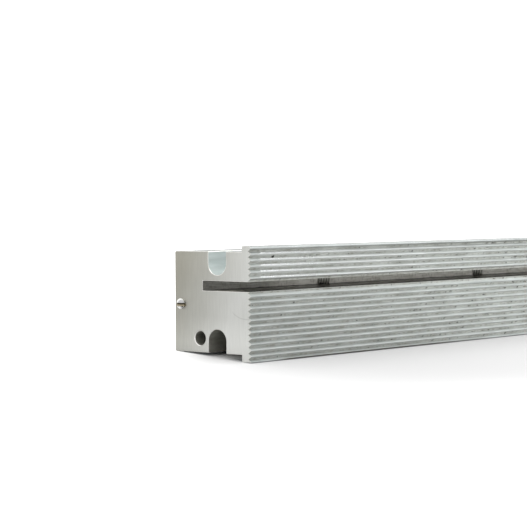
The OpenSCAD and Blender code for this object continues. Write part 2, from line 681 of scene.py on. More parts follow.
    def colour(self, graph: Graph) -> Link:
        """Adds the plate's colour with painted light and shade by its place on the bar and in a tooth.

        Args:
            graph: The material's nodes.

        Returns:
            The colour.
        """
        slope_x, slope_z = (1 / mm(reach) for reach in self.low_end_shade_reach_mm)
        slope = {"operation": "DOT_PRODUCT", "1": (slope_x, 0, slope_z)}
        low_end_shade_place = graph.add("VectorMath", slope, {"0": (graph.place, "Object")})
        facing = graph.add("SeparateXYZ", links={"Vector": (graph.place, "Normal")})
        upward_shade = ramp_range(self.upward_shade_range, (1.0, self.upward_shade_tone))
        colour = graph.tinted(
            super().colour(graph),
            # Painted shade toward the bottom of the visible end.
            graph.add("MapRange", ramp_range(self.low_end_shade_range, (self.low_end_shade, 1.0)), {"Value": low_end_shade_place}),
            # Painted shade on the faces that look upward.
            graph.add("MapRange", upward_shade, {"Value": (facing, "Z")}),
            # Painted light and shade by the place in a tooth.
            self.by_tooth(graph, [(at, linear(tone)) for at, tone in self.tooth_light_and_shade_tones]),
        )
        # Painted light and shade away from the visible end.
        clean = {
            "0": graph.along("X", self.far_light_and_shade_mm),
            "6": colour,
            "7": self.by_tooth(graph, greys(self.far_light_and_shade_levels)),
        }
        colour = graph.add("Mix", MULTIPLY, clean)
        # Painted shade on the topmost groove and the flank above it.
        return graph.tinted(colour, graph.along("Z", self.top_shade_mm, self.top_shade_levels))

    def by_tooth(self, graph: Graph, stops: Stops) -> bpy.types.Node:
        """Adds a tone or mask that repeats with every tooth.

        Args:
            graph: The material's nodes.
            stops: Colours by the place within a tooth: 0 and 1 at the crests and 0.5 in the groove.

        Returns:
            The tone.
        """
        apart = graph.add("SeparateXYZ", links={"Vector": (graph.place, "Object")})
        count = {"operation": "MULTIPLY_ADD", "1": 1 / mm(self.pitch_mm), "2": -self.foot_mm / self.pitch_mm}
        tooth = graph.add("Math", count, {"0": (apart, "Z")})
        phase = graph.add("Math", {"operation": "FRACT"}, {"0": tooth})
        return graph.add("ValToRGB", {"stops": stops}, {"Fac": phase})

    def specks(self, graph: Graph) -> bpy.types.Node:
        """Adds the specks, at most one to a cell half a tooth high.

        Args:
            graph: The material's nodes.

        Returns:
            The mask that is one in a speck.
        """
        scale = (1 / mm(self.speck_mm), 0, 1 / mm(self.pitch_mm / 2))
        cells = graph.add("Mapping", {"Scale": scale}, {"Vector": (graph.place, "Object")})
        spots = graph.add("TexVoronoi", {"Scale": 1.0}, {"Vector": cells})
        draw = graph.add("SeparateColor", links={"Color": (spots, "Color")})
        chance = graph.add("MapRange", ramp_range(self.speck_chance), {"Value": (draw, "Red")})
        size = graph.product(chance, graph.along("X", self.speck_run_mm, self.speck_sizes))
        inside = graph.add("Math", {"operation": "SUBTRACT"}, {"0": size, "1": (spots, "Distance")})
        edge = ramp_range(self.speck_edge, (0.0, self.speck_strength))
        return graph.add("MapRange", edge, {"Value": inside})


@dataclass(frozen=True)
class PlatedChannel(Finish):
    """Bead-blasted and plated walls of the heater channels, which scatter light evenly."""

    name: str = "blasted_nickel_plate"
    light: str = "DBE1E0"
    dark: str = "CCD3D1"
    roughness: float = 0.85
    cell_mm: Triple = (20, 2, 2)
    relief: Relief = Relief((0.3, 0.3, 0.3), 0.2, 0.02, 2.0)


@dataclass(frozen=True)
class SlotSteel(Finish):
    """Bare steel of the knife slot, cut by a side mill whose chatter shows as fine upright ticks.

    It is darker toward the visible end.
    """

    name: str = "slot_wall_steel"
    light: str = "DCDBD4"
    dark: str = "B4B2A9"
    roughness: float = 0.38
    cell_mm: Triple = (9, 4, 0.6)
    detail: float = 5.0
    tones: Pair = (0.3, 0.6)
    relief: Relief = Relief((1.1, 6, 1.6), 0.3, 0.03)
    ticks: Levels = ((0.35, 0.8), (0.48, 1.0))
    end_mm: Pair = (-108.0, -84.0)
    end_levels: Levels = ((0.0, 0.48), (1.0, 1.0))
    depth_mm: Pair = (-43.0, -16.0)
    depth_light_and_shade: Levels = ((0.0, 1.0), (1.0, 1.0))

    def colour(self, graph: Graph) -> Link:
        """Adds the steel's colour with its ticks and its residue.

        Args:
            graph: The material's nodes.

        Returns:
            The colour.
        """
        return graph.tinted(
            super().colour(graph),
            graph.blotches(self.relief.cell_mm, self.relief.detail, greys(self.ticks)),
            graph.along("X", self.end_mm, self.end_levels),
            graph.along("Y", self.depth_mm, self.depth_light_and_shade),
        )


@dataclass(frozen=True)
class OilySlotSide(SlotSteel):
    """The slot's sides, under a film of oil and residue that takes the metal's shine.

    Painted shade darkens them behind the lip and in the inner corner, and painted light brightens them
    between.
    """

    name: str = "oily_slot_side_steel"
    light: str = "B4B3AA"
    dark: str = "9A9890"
    roughness: float = 0.12
    metallic: float = 0.35
    sheen: float = 0.0
    end_levels: Levels = ((0.0, 1.0), (1.0, 1.0))
    # Painted shade behind the lip and in the inner corner, painted light between.
    depth_light_and_shade: Levels = ((0.0, 0.32), (0.25, 0.32), (0.45, 1.4), (0.8, 1.4), (0.88, 0.25))


@dataclass(frozen=True)
class DarkSteel(Finish):
    """Bare steel inside the bore, the lower channel and the screw's hole, in a darker colour that is painted
    shade.
    """

    name: str = "recess_shaded_steel"
    light: str = "B6B6AE"
    dark: str = "A09F97"
    roughness: float = 0.75
    cell_mm: Triple = (6, 1.5, 1.5)


@dataclass(frozen=True)
class TappedSteel(Finish):
    """Bare steel of the cut threads, with a painted highlight on the crests and painted shade in the roots.
    """

    name: str = "tapped_steel"
    light: str = "DEDDD5"
    dark: str = "9C9C94"
    roughness: float = 0.4
    # Shares of the thread's depth at which the painted highlight and the painted shade lie.
    tones: Pair = (0.12, 0.45)
    spacing_mm: float = 126.0
    thread_mm: Pair = (4.25, 5.0)

    def colour(self, graph: Graph) -> Link:
        """Adds the thread's colour, by its depth in the hole's wall.

        Args:
            graph: The material's nodes.

        Returns:
            The colour.
        """
        # The distance from the nearer hole's axis is the same when the bar is folded about its middle.
        folded = graph.add("VectorMath", {"operation": "ABSOLUTE"}, {"0": (graph.place, "Object")})
        radius = graph.distance(mms(self.spacing_mm / 2, 0, 0), (1, 0, 1), folded)
        depth = graph.add("MapRange", ramp_range(mms(*self.thread_mm)), {"Value": radius})
        stops = [(self.tones[0], linear(self.light)), (self.tones[1], linear(self.dark))]
        return graph.add("ValToRGB", {"stops": stops}, {"Fac": depth})


@dataclass(frozen=True)
class WornEdge(Finish):
    """Filed edges, rubbed by handling, where the bare steel is polished light; the light colour is partly a
    painted highlight.
    """

    name: str = "filed_edge_highlight_steel"
    light: str = "FFFEFA"
    dark: str = "E4E3DC"
    roughness: float = 0.3
    cell_mm: Triple = (2.5, 2.5, 2.5)
    detail: float = 2.0
    tones: Pair = (0.35, 0.6)


@dataclass(frozen=True)
class Grime(Finish):
    """Charred residue packed in pits: brown-black, matt and crumbly. A lighter copy in the screw's driver
    slot is grime and painted shade.
    """

    name: str = "burnt_residue"
    light: str = "38332B"
    dark: str = "1A1916"
    roughness: float = 0.85
    cell_mm: Triple = (0.4, 0.4, 0.4)
    detail: float = 2.0
    tones: Pair = (0.35, 0.65)
    metallic: float = 0.0


@dataclass(frozen=True)
class Spot:
    """A round spot on the screw's head: its place from the axis, and the radii between which it fades."""

    y_mm: float
    z_mm: float
    inner_mm: float
    outer_mm: float


@dataclass(frozen=True)
class NickelScrew(Finish):
    """Nickel-plated screw steel, polished by cleaning, with a tan patch under the driver slot and a painted
    reflection, highlight and shade on its head.
    """

    name: str = "nickel_plated_steel"
    light: str = "C6C6C8"
    dark: str = "B9B9B8"
    roughness: float = 0.3
    cell_mm: Triple = (0.7, 0.7, 0.7)
    detail: float = 2.0
    tones: Pair = (0.3, 0.6)
    bright: str = "FFFFFB"
    tan: str = "A2957A"
    # The colour of the spots of painted shade.
    shade_colour: str = "47433A"
    axis_mm: Pair = (-3.8, -8.0)
    # The tan patch thickens from the first level to the second, and reaches up into the driver slot.
    tan_patch_mm: Pair = (-9.35, -8.9)
    tan_patch: Levels = ((0.0, 0.0), (1.0, 0.9))
    tan_patch_top_mm: Pair = (-7.995, -8.005)
    # Outside the crescent the rim is a painted reflection of the white surround, and the glint is a painted
    # highlight.
    crescent: Spot = Spot(-0.75, -0.35, 1.75, 2.25)
    glint: Spot = Spot(0.25, -1.75, 0.35, 0.75)
    # Spots of painted shade, at the driver slot's open end and low toward the flange.
    shade_spots: tuple[Spot, ...] = (Spot(-1.85, 0.15, 0.2, 0.45), Spot(-1.25, -1.2, 0.2, 0.5))

    def colour(self, graph: Graph) -> Link:
        """Adds the screw's colour: a painted reflection on the rim round a plain middle, a tan patch under
        the slot, a painted highlight and spots of painted shade.

        Args:
            graph: The material's nodes.

        Returns:
            The colour.
        """
        plain = {"0": self.mask(graph, self.crescent), "7": super().colour(graph)}
        colour = graph.add("Mix", {"data_type": "RGBA", "6": linear(self.bright)}, plain)
        tan_patch = graph.along("Z", self.tan_patch_mm, self.tan_patch)
        colour = graph.coated(colour, self.tan, tan_patch, graph.along("Z", self.tan_patch_top_mm))
        for spot, paint in ((self.glint, self.bright), *((shade_spot, self.shade_colour) for shade_spot in self.shade_spots)):
            colour = graph.coated(colour, paint, self.mask(graph, spot))
        return colour

    def mask(self, graph: Graph, spot: Spot) -> bpy.types.Node:
        """Adds a round mask on the head.

        Args:
            graph: The material's nodes.
            spot: Where it is and how it fades.

        Returns:
            The mask, which is one inside the spot.
        """
        centre = mms(0, self.axis_mm[0] + spot.y_mm, self.axis_mm[1] + spot.z_mm)
        fading = ramp_range(mms(spot.inner_mm, spot.outer_mm), (1.0, 0.0))
        return graph.add("MapRange", fading, {"Value": graph.distance(centre, ACROSS_X)})


# --- The bar ---------------------------------------------------------------------------------------------


class Face(Enum):
    """The bar's surfaces by finish, in the order of its material slots."""

    PLATED = 0
    END = 1
    SLOT = 2
    CHANNEL = 3
    HOLE = 4
    THREAD = 5
    EDGE = 6
    PIT = 7
    SLOT_FLOOR = 8


@dataclass
class JawBar:
    """The machined bar: block, toothed flange, knife slot, heater channels, sensor bore and tapped holes."""

    low: Vector
    high: Vector
    finishes: dict[Face, bpy.types.Material]
    flange_rise: float = mm(2.5)
    flange_drop: float = mm(3)
    flange_thickness: float = mm(5)
    rear_chamfer: float = mm(0.4)
    widest_break: float = mm(0.22)
    pitch: float = mm(2.5)
    tooth_depth: float = mm(1.6)
    crest_flat: float = mm(0.2)
    slot_height: float = mm(4.1)
    slot_depth: float = mm(27)
    channel_width: float = mm(10)
    channel_depth: float = mm(10)
    channel_setback: float = mm(24.2)
    bore_radius: float = mm(3)
    bore_depth: float = mm(60)
    bore_setback: float = mm(14.4)
    bore_level: float = mm(6)
    bore_break: float = mm(0.3)
    tap_break: float = mm(0.9)
    tap_minor: float = mm(4.25)
    tap_major: float = mm(5)
    tap_pitch: float = mm(1.5)
    tap_spacing: float = mm(126)
    screw_hole: float = mm(1.3)
    screw_depth: float = mm(9)
    screw_setback: float = mm(3.8)
    screw_level: float = mm(20.4)
    # How far a cutter runs past the surface that it opens.
    past: float = mm(1)
    # Each pit's place along the bar, its level and its radius, in millimetres.
    pits: tuple[Triple, ...] = (
        (-128.95, 12.5, 0.62), (-123.8, -12.5, 0.4), (-115.3, -7.5, 0.35), (-96.7, -24.9, 0.4),
        (14.6, 12.6, 0.4), (50.6, 10.1, 0.5), (60.7, -7.3, 0.45), (54.7, -14.7, 0.55),
        (43.9, 10.1, 0.42), (56.1, -4.75, 0.5), (48.1, 7.6, 0.42), (50.7, 4.95, 0.42),
        (23.0, 12.55, 0.4), (-103.3, -27.4, 0.34), (-104.4, -24.9, 0.3), (97.0, 7.6, 0.36),
        (118.5, -12.4, 0.38), (88.2, -19.9, 0.34), (-71.0, -17.6, 0.36), (-38.5, 10.2, 0.34),
        (-12.6, -9.8, 0.38), (131.0, -4.8, 0.34), (-55.2, -27.4, 0.32), (5.6, 4.9, 0.3),
    )
    # How near a spot is to count as on a surface.
    skin: float = mm(0.05)
    piece: bpy.types.Object | None = field(default=None, init=False)

    @property
    def bar_bottom(self) -> float:
        """Level of the bar's underside behind the flange."""
        return self.low.z + self.flange_drop

    @property
    def bar_top(self) -> float:
        """Level of the bar's top behind the flange."""
        return self.high.z - self.flange_rise

    @property
    def flange_back(self) -> float:
        """Where the flange ends and the bar begins, along Y."""
        return self.low.y + self.flange_thickness

    @property
    def slot_floor(self) -> float:
        """The knife slot's rear wall, along Y."""
        return self.low.y + self.slot_depth

    def build(self) -> bpy.types.Object:
        """Models the bar from its block to its last pit, in the order in which it was machined.

        Returns:
            The finished bar.
        """
        self.rough_block()
        self.grow_flange()
        self.clean()
        self.cut_teeth()
        self.cut_slot()
        self.cut_channel(Side.TOP)
        self.cut_channel(Side.BOTTOM)
        self.clean()
        self.break_edges()
        self.drill_bore()
        self.drill_screw_hole()
        self.tap_holes()
        self.pit_face()
        self.clean()
        return self.piece

    def rough_block(self) -> None:
        """Starts from the sawn block, as high as the bar and as deep as the whole jaw."""
        self.piece = block(
            "jaw_bar", (self.low.x, self.low.y, self.bar_bottom), (self.high.x, self.high.y, self.bar_top)
        )
        for face in Face:
            self.piece.data.materials.append(self.finishes[face])

    def grow_flange(self) -> None:
        """Splits the block at the flange's back and pulls the flange up and down past the bar."""
        with editing(self.piece):
            bpy.ops.mesh.bisect(plane_co=(0, self.flange_back, 0), plane_no=(0, 1, 0))
            for direction, rise in ((1, self.flange_rise), (-1, -self.flange_drop)):
                choose(
                    Pick.FACES,
                    lambda f: f.normal.z * direction > 0.9 and f.calc_center_median().y < self.flange_back,
                )
                bpy.ops.mesh.extrude_region_move(TRANSFORM_OT_translate={"value": (0, 0, rise)})

    def cut_teeth(self) -> None:
        """Scores the flange's front at every crest and valley and presses the valleys in."""
        with editing(self.piece):
            front = self.low.y
            levels: list[float] = []
            valleys: list[float] = []
            level = self.low.z
            flat = self.crest_flat / 2
            while level < self.high.z:
                levels += [level + flat, level + self.pitch / 2, level + self.pitch - flat]
                valleys.append(level + self.pitch / 2)
                level += self.pitch
            for at in levels:
                if at < self.high.z - 1e-6:
                    choose(Pick.FACES, lambda f: f.normal.y < -0.9 and near(f.calc_center_median().y, front))
                    bpy.ops.mesh.bisect(plane_co=(0, 0, at), plane_no=(0, 0, 1))
            choose(Pick.CORNERS, lambda v: near(v.co.y, front) and near_any(v.co.z, valleys))
            bpy.ops.transform.translate(value=(0, self.tooth_depth, 0))
            # The last groove is cut off by the flange's top, part-way up its lower flank.
            share = (self.high.z - (valleys[-1] - self.pitch / 2) - flat) / (self.pitch / 2 - flat)
            choose(Pick.CORNERS, lambda v: near(v.co.y, front) and near(v.co.z, self.high.z))
            bpy.ops.transform.translate(value=(0, self.tooth_depth * share, 0))

    def cut_slot(self) -> None:
        """Cuts the knife slot through the serrated face, from end to end."""
        half = self.slot_height / 2
        low = (self.low.x - self.past, self.low.y - self.past, -half)
        cut(self.piece, block("slot_cutter", low, (self.high.x + self.past, self.slot_floor, half)))

    def cut_channel(self, side: Side) -> None:
        """Cuts one heater channel: a round floor with straight walls out through the bar's side.

        Args:
            side: Whether it opens at the bar's top or bottom.
        """
        surface = self.bar_top if side is Side.TOP else self.bar_bottom
        radius = self.channel_width / 2
        axis = surface - side.value * (self.channel_depth - radius)
        length = self.high.x - self.low.x + 2 * self.past
        cutter = rod("channel_cutter", radius, length, (0, -self.channel_setback, axis), "X", 64)
        with editing(cutter):
            bpy.ops.mesh.bisect(
                plane_co=(0, 0, axis), plane_no=(0, 0, side.value), clear_outer=True, use_fill=True
            )
            choose(
                Pick.FACES, lambda f: f.normal.z * side.value > 0.9 and near(f.calc_center_median().z, axis)
            )
            reach = side.value * (self.channel_depth - radius + self.past)
            bpy.ops.mesh.extrude_region_move(TRANSFORM_OT_translate={"value": (0, 0, reach)})
            bpy.ops.mesh.select_all(action="SELECT")
            bpy.ops.mesh.normals_make_consistent(inside=False)
        cut(self.piece, cutter)

    def drill(self, radius: float, depth: float, setback: float, level: float, sides: int) -> None:
        """Drills a blind hole into the visible end, along X, and leaves the drill's point in it.

        Args:
            radius: Radius of the hole.
            depth: Depth of its straight part.
            setback: Distance from the rear face to its axis.
            level: Height of its axis above the bar's underside.
            sides: Faces round the hole.
        """
        length = depth + self.past
        centre = (self.low.x + (depth - self.past) / 2, -setback, self.bar_bottom + level)
        drill = rod("drill", radius, length, centre, "X", sides, "TRIFAN")
        tip = Vector((self.low.x + depth, -setback, self.bar_bottom + level))
        with editing(drill):
            choose(Pick.CORNERS, lambda v: (v.co - tip).length < self.skin)
            bpy.ops.transform.translate(value=(radius / math.tan(DRILL_HALF_ANGLE), 0, 0))
        cut(self.piece, drill)

    def sink(self, mouth: Triple, radius: float, break_width: float, axis: str) -> None:
        """Breaks a round hole's mouth with a 90 degree cone.

        Args:
            mouth: Centre of the hole in the surface that it opens.
            radius: Radius of the hole.
            break_width: Width of the break.
            axis: "X" for a mouth that looks toward -X, "Y" for one that looks toward +Y.
        """
        wide = radius + break_width
        out = {"X": Vector((-1, 0, 0)), "Y": Vector((0, 1, 0))}[axis]
        bpy.ops.mesh.primitive_cone_add(
            vertices=64, radius1=wide + self.past, radius2=0, depth=wide + self.past, rotation=TURNS[axis],
            location=Vector(mouth) + out * (self.past - (wide + self.past) / 2),
        )
        cone = bpy.context.object
        settle(cone)
        cut(self.piece, cone)

    def drill_bore(self) -> None:
        """Drills the sensor bore and breaks its mouth."""
        self.drill(self.bore_radius, self.bore_depth, self.bore_setback, self.bore_level, 64)
        mouth = (self.low.x, -self.bore_setback, self.bar_bottom + self.bore_level)
        self.sink(mouth, self.bore_radius, self.bore_break, "X")

    def drill_screw_hole(self) -> None:
        """Drills the hole that takes the end screw."""
        self.drill(self.screw_hole, self.screw_depth, self.screw_setback, self.screw_level, 24)

    def tap(self) -> bpy.types.Object:
        """Models the tap that cuts a mounting hole's thread, as one turn of its V run up in a helix.

        Returns:
            A closed screw shape about Y, from past the rear face into the slot.
        """
        depth = self.tap_major - self.tap_minor
        turns = math.ceil((-self.slot_floor + 3 * self.past) / self.tap_pitch) + 1
        # A plane on its corner is a lozenge: the outer corner is the thread's crest and the inner one goes.
        bpy.ops.mesh.primitive_plane_add(size=math.sqrt(0.5), rotation=(0, 0, math.pi / 4))
        tap = bpy.context.object
        tap.name = "tap"
        settle(tap)
        tap.rotation_euler = (math.pi / 2, 0, 0)
        tap.scale = (2 * depth, self.tap_pitch, 1)
        tap.location = (self.tap_minor, 0, 0)
        settle(tap)
        with editing(tap):
            choose(Pick.CORNERS, lambda v: v.co.x < self.tap_minor - depth / 2)
            bpy.ops.mesh.delete(type="VERT")
        modify(
            tap, "SCREW", axis="Z", steps=40, render_steps=40, iterations=turns, screw_offset=self.tap_pitch,
            use_merge_vertices=True, merge_threshold=1e-6,
        )
        with editing(tap):
            bpy.ops.mesh.remove_doubles(threshold=1e-6)
            half = turns * self.tap_pitch / 2
            for above in (True, False):
                choose(Pick.EDGES, lambda e: e.is_boundary and (middle(e).z > half) is above)
                bpy.ops.mesh.edge_face_add()
            bpy.ops.mesh.select_all(action="SELECT")
            bpy.ops.mesh.quads_convert_to_tris()
            bpy.ops.mesh.normals_make_consistent(inside=False)
        tap.location = (0, 2 * self.past, 0)
        tap.rotation_euler = (math.pi / 2, 0, 0)
        settle(tap)
        return tap

    def tap_holes(self) -> None:
        """Cuts both threaded mounting holes and breaks their rear mouths."""
        first = self.tap()
        only(first)
        bpy.ops.object.duplicate(linked=False)
        second = bpy.context.object
        for cutter, x in ((first, -self.tap_spacing / 2), (second, self.tap_spacing / 2)):
            cutter.location = (x, 0, 0)
            settle(cutter)
            cut(self.piece, cutter)
            self.sink((x, 0, 0), self.tap_minor, self.tap_break, "Y")

    def clean(self) -> None:
        """Joins flat neighbours and doubled corners that the cuts left."""
        with editing(self.piece):
            bpy.ops.mesh.remove_doubles(threshold=2e-6)
            bpy.ops.mesh.dissolve_limited(angle_limit=math.radians(0.05), delimit={"NORMAL"})

    def on_face(self, x_mm: float, level_mm: float) -> Vector:
        """Finds a point on the serrated face.

        Args:
            x_mm: Its place along the bar in millimetres.
            level_mm: Its height along Z in millimetres.

        Returns:
            The point on the tooth's flank or crest there, in metres.
        """
        rise = (mm(level_mm) - self.low.z) % self.pitch
        flat = self.crest_flat / 2
        from_crest = max(0.0, min(rise, self.pitch - rise) - flat)
        depth = self.tooth_depth * from_crest / (self.pitch / 2 - flat)
        return Vector((mm(x_mm), self.low.y + depth, mm(level_mm)))

    def pit_face(self) -> None:
        """Opens the small corrosion pits that sit in the grooves of the serrated face."""
        cutters = []
        for x, level, radius in self.pits:
            at = self.on_face(x, level)
            bpy.ops.mesh.primitive_ico_sphere_add(subdivisions=2, radius=mm(radius), location=at)
            settle(bpy.context.object)
            cutters.append(bpy.context.object)
        only(cutters[0])
        for cutter in cutters:
            cutter.select_set(True)
        bpy.ops.object.join()
        cut(self.piece, bpy.context.object)

    def weigh(self, width: float, test: Test) -> None:
        """Marks, in edit mode, the sharp edges that pass a test for a break of a width.

        Args:
            width: Width of the break's legs, at most the widest break's.
            test: Says which sharp edges are taken.
        """
        if choose(Pick.EDGES, lambda e: e.calc_face_angle(0.0) > math.radians(25) and test(e)):
            bpy.ops.transform.edge_bevelweight(value=width / self.widest_break)

    def is_end_edge(self, edge: Any) -> bool:
        """Returns whether an edge lies in one of the bar's end faces."""
        return any(all(near(v.co.x, end) for v in edge.verts) for end in (self.low.x, self.high.x))

    def is_on_flange(self, edge: Any) -> bool:
        """Returns whether an edge lies wholly in front of the flange's back."""
        return all(v.co.y < self.flange_back + self.skin for v in edge.verts)

    def long_breaks(self) -> list[tuple[float, Test]]:
        """Lists the breaks of the edges along the bar.

        Returns:
            Each break's width in millimetres and its test of an edge's middle. An edge passes one at most.
        """
        front = self.low.y
        valley = front + self.tooth_depth
        lip = self.slot_height / 2
        ends = (self.low.z, self.high.z)
        half = self.channel_width / 2
        walls = (-self.channel_setback - half, -self.channel_setback + half)
        mouths = (self.bar_bottom, self.bar_top)
        return [
            (0.2, lambda at: near(at.y, self.flange_back) and near_any(at.z, ends)),
            (0.2, lambda at: near_any(at.y, walls) and near_any(at.z, mouths)),
            (0.2, lambda at: at.y < valley + self.skin and near(abs(at.z), lip)),
            (0.12, lambda at: at.y < valley + self.skin and near(at.z, self.high.z)),
            # The crests are worn more above the slot, and the foot's crest least.
            (0.05, lambda at: near(at.y, front) and self.low.z + self.crest_flat < at.z < 0),
            (0.13, lambda at: near(at.y, front) and at.z > 0),
            (0.04, lambda at: near(at.y, front) and near(at.z, self.low.z)),
            (0.1, lambda at: near(at.y, valley)),
        ]

    def end_breaks(self) -> list[tuple[float, Test]]:
        """Lists the breaks of the edges round the ends.

        Returns:
            Each break's width in millimetres and its test of an edge. An edge passes one at most.
        """
        lip = self.slot_height / 2
        return [
            (0.22, lambda e: not self.is_on_flange(e) and abs(middle(e).z) > self.slot_height),
            (0.22, lambda e: not self.is_on_flange(e) and near(abs(middle(e).z), lip)),
            (0.06, lambda e: near(middle(e).y, self.slot_floor)),
            (0.05, self.is_on_flange),
        ]

    def break_edges(self) -> None:
        """Breaks the sharp edges: a chamfer at the rear, a file along the bar and barely on the teeth."""
        with editing(self.piece):
            choose(Pick.EDGES, lambda e: runs_along(e, 0) and near(middle(e).y, 0))
            bpy.ops.mesh.bevel(
                offset_type="OFFSET", offset=self.rear_chamfer, segments=1, affect="EDGES",
                clamp_overlap=False, material=Face.EDGE.value,
            )
            bpy.ops.mesh.select_all(action="SELECT")
            for width_mm, taken in self.long_breaks():
                self.weigh(mm(width_mm), lambda e: runs_along(e, 0) and taken(middle(e)))
            for width_mm, taken in self.end_breaks():
                self.weigh(mm(width_mm), lambda e: self.is_end_edge(e) and taken(e))
        modify(
            self.piece, "BEVEL", limit_method="WEIGHT", width=self.widest_break, segments=2,
            use_clamp_overlap=False, material=Face.EDGE.value,
        )

    def dress(self) -> None:
        """Gives each surface its finish, and smooth shading round the holes and the channels."""
        # The slot's filed lips stay light, partly as a painted highlight. The teeth's own breaks are plated
        # like their flanks.
        lip = self.slot_height / 2 + mm(0.1)
        for polygon in self.piece.data.polygons:
            at = polygon.center
            in_front = at.y < self.low.y + self.tooth_depth + self.skin and abs(polygon.normal.x) < 0.1
            on_teeth = in_front and abs(abs(at.z) - lip) > mm(0.15)
            if polygon.material_index != Face.EDGE.value or on_teeth:
                polygon.material_index = self.face_at(at, polygon.normal).value
        only(self.piece)
        bpy.ops.object.shade_smooth_by_angle(angle=math.radians(12))
        round_faces = {face.value for face in (Face.CHANNEL, Face.HOLE, Face.THREAD, Face.EDGE)}
        for polygon in self.piece.data.polygons:
            polygon.use_smooth = polygon.material_index in round_faces

    def face_at(self, at: Vector, normal: Vector) -> Face:
        """Finds which finish a spot on the bar has.

        Args:
            at: The spot.
            normal: Which way the surface looks there.

        Returns:
            The kind of surface.
        """
        skin = self.skin
        in_bore = math.hypot(at.y + self.bore_setback, at.z - self.bar_bottom - self.bore_level)
        in_screw = math.hypot(at.y + self.screw_setback, at.z - self.bar_bottom - self.screw_level)
        in_tap = math.hypot(abs(at.x) - self.tap_spacing / 2, at.z)
        if in_bore < self.bore_radius + skin and at.x > self.low.x + self.bore_break:
            return Face.HOLE
        if in_screw < self.screw_hole + skin and at.x > self.low.x + skin:
            return Face.HOLE
        if in_tap < self.tap_major + skin and self.slot_floor + skin < at.y < -skin:
            return Face.THREAD
        if in_bore < self.bore_radius + self.bore_break + skin and 0.2 < abs(normal.x) < 0.9:
            return Face.EDGE
        in_mouth = in_tap < self.tap_minor + self.tap_break + skin and -self.tap_break < at.y < 0
        if in_mouth and 0.2 < normal.y < 0.9:
            return Face.EDGE
        if abs(normal.x) > 0.9 and min(at.x - self.low.x, self.high.x - at.x) < skin:
            return Face.END
        behind_teeth = self.low.y + self.tooth_depth < at.y < self.slot_floor + skin
        if abs(at.z) < self.slot_height / 2 + skin and behind_teeth:
            return Face.SLOT if abs(normal.y) > 0.7 else Face.SLOT_FLOOR
        if abs(at.y + self.channel_setback) < self.channel_width / 2 + skin and abs(normal.x) < 0.1:
            if self.bar_bottom + skin < at.z < self.bar_top - skin:
                # Painted shade: the lower channel takes the darker hole finish, though it is cut like the
                # upper one.
                return Face.CHANNEL if at.z > 0 else Face.HOLE
        if any((at - self.on_face(x, level)).length < mm(radius) * 1.01 for x, level, radius in self.pits):
            return Face.PIT
        return Face.PLATED


# --- The end screw ---------------------------------------------------------------------------------------


@dataclass
class EndScrew:
    """The slotted screw in the end face, with a domed cheese head."""

    end_x: float
    setback: float
    level: float
    shank: float = mm(1.25)
    length: float = mm(8)
    head: float = mm(2.25)
    side: float = mm(0.8)
    dome: float = mm(0.5)
    # Shares of the head's radius at which the dome's rings lie.
    rings: tuple[float, ...] = (0.92, 0.8, 0.64, 0.44, 0.22)
    slot_width: float = mm(0.7)
    slot_depth: float = mm(0.9)
    edge_break: float = mm(0.05)
    piece: bpy.types.Object | None = field(default=None, init=False)

    @property
    def slot_bottom(self) -> float:
        """The driver slot's bottom, along X."""
        return self.end_x - self.side - self.dome + self.slot_depth

    def build(self) -> bpy.types.Object:
        """Turns the head and shank and saws the driver slot.

        Returns:
            The finished screw.
        """
        at = (self.end_x - self.side / 2, -self.setback, self.level)
        self.piece = rod("slotted_end_screw", self.head, self.side, at, "X", 64)
        with editing(self.piece):
            # The dome: the head's outer face is inset in rings, each lifted to a circle's height.
            sphere = (self.head**2 + self.dome**2) / (2 * self.dome)
            choose(Pick.FACES, lambda f: f.normal.x < -0.9)
            reach, lift = self.head, 0.0
            for share in self.rings:
                ring = self.head * share
                height = math.sqrt(sphere**2 - ring**2) - (sphere - self.dome)
                bpy.ops.mesh.inset(thickness=reach - ring, depth=0)
                bpy.ops.transform.translate(value=(-(height - lift), 0, 0))
                reach, lift = ring, height
            choose(Pick.FACES, lambda f: f.normal.x > 0.9)
            bpy.ops.mesh.inset(thickness=self.head - self.shank, depth=0)
            bpy.ops.mesh.extrude_region_move(TRANSFORM_OT_translate={"value": (self.length, 0, 0)})
        half, reach = self.slot_width / 2, mm(4)
        low = (self.slot_bottom - self.slot_depth - mm(1), -self.setback - reach, self.level - half)
        high = (self.slot_bottom, -self.setback + reach, self.level + half)
        cut(self.piece, block("saw", low, high))
        sharp = math.radians(40)
        modify(
            self.piece, "BEVEL", limit_method="ANGLE", angle_limit=sharp, width=self.edge_break, segments=2
        )
        return self.piece

    def dress(self, finish: bpy.types.Material, grime: bpy.types.Material) -> None:
        """Gives the screw its finish, and a dark brown in the driver slot that is grime and painted shade.

        Args:
            finish: The screw's material.
            grime: The driver slot's material, grime and painted shade.
        """
        self.piece.data.materials.append(finish)
        self.piece.data.materials.append(grime)
        slack = mm(0.01)
        for polygon in self.piece.data.polygons:
            at = polygon.center
            low = abs(at.z - self.level) < self.slot_width / 2 + slack and at.x < self.slot_bottom + slack
            inward = abs(polygon.normal.z) > 0.7 or at.x > self.slot_bottom - 2 * slack
            polygon.material_index = int(low and inward)


# --- The studio ------------------------------------------------------------------------------------------


